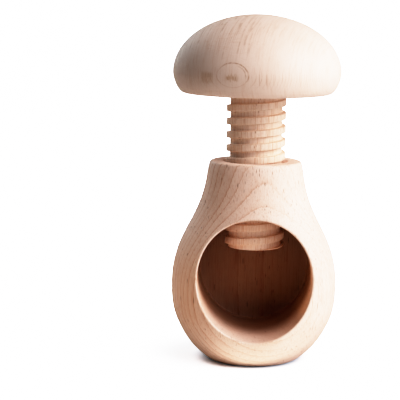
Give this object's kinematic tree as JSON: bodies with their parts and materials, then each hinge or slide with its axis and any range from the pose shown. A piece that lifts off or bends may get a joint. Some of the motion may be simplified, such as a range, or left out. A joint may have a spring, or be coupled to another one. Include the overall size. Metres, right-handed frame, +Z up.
{
  "type": "nutcracker",
  "caption": "Mushroom-shaped wooden screw nutcracker: a domed head turns a threaded spindle down into the round nut chamber of a pear-shaped body.",
  "frame": {"origin": "centre of the foot's flat underside, on the turning axis", "axes": "+Z up along the turning axis to the crown of the cap; the nut chamber opens towards -Y; +X to the right seen from the front"},
  "size_m": [0.066, 0.066, 0.1366],
  "materials": {
    "body_beech": "untreated, fine sanded beech, matt",
    "screw_beech": "untreated beech as cut by the thread box, matt",
    "cap_beech": "untreated, fine sanded beech, matt",
    "glue": "cured wood glue, satin"
  },
  "bodies": {
    "stand": {"body": "body_beech"},
    "carriage": {"glue_line": "glue"},
    "press_screw": {"screw": "screw_beech", "cap": "cap_beech"}
  },
  "joints": [
    {"name": "screw_advance", "type": "slide", "parent": "stand", "child": "carriage", "axis": [0, 0, 1], "range_m": [-0.0263, 0.0285]},
    {"name": "screw_turn", "type": "hinge", "parent": "carriage", "child": "press_screw", "pos_m": [0, 0, 0.1059], "axis": [0, 0, 1], "range_deg": [-1804, 1955]}
  ],
  "couplings": [
    {"joint": "screw_turn", "follows": "screw_advance", "rad_per_m": 1196.8}
  ]
}
